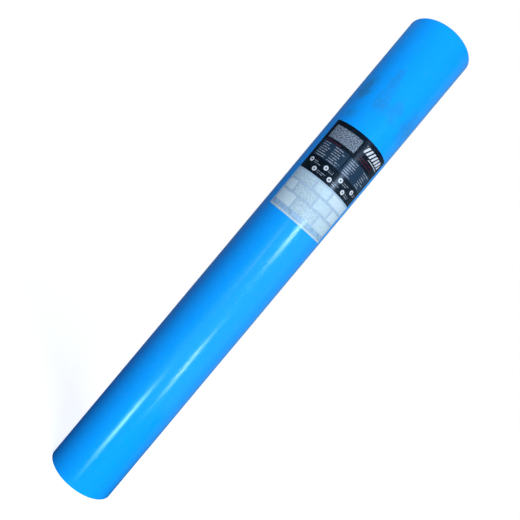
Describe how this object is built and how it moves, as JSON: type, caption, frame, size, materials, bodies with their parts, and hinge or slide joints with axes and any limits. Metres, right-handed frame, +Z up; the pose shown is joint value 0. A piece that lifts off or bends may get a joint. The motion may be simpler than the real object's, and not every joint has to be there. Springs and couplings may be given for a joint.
{
  "type": "roll of vapor barrier membrane",
  "caption": "Tight roll of folded blue plastic vapour barrier sheet with a bore through it, standing on its end, with a printed label round its side.",
  "frame": {"origin": "centre of the bore at the roll's bottom end", "axes": "+Z up along the roll's axis, -Y out through the middle of the label"},
  "size_m": [0.128, 0.1283, 1],
  "materials": {
    "membrane": "smooth, slightly soft gloss of a tight plastic sheet",
    "label": "smooth coated paper, printed in dark blue-grey above and pale blue below"
  },
  "bodies": {
    "root": {"membrane_roll": "membrane", "label": "label"}
  },
  "joints": []
}
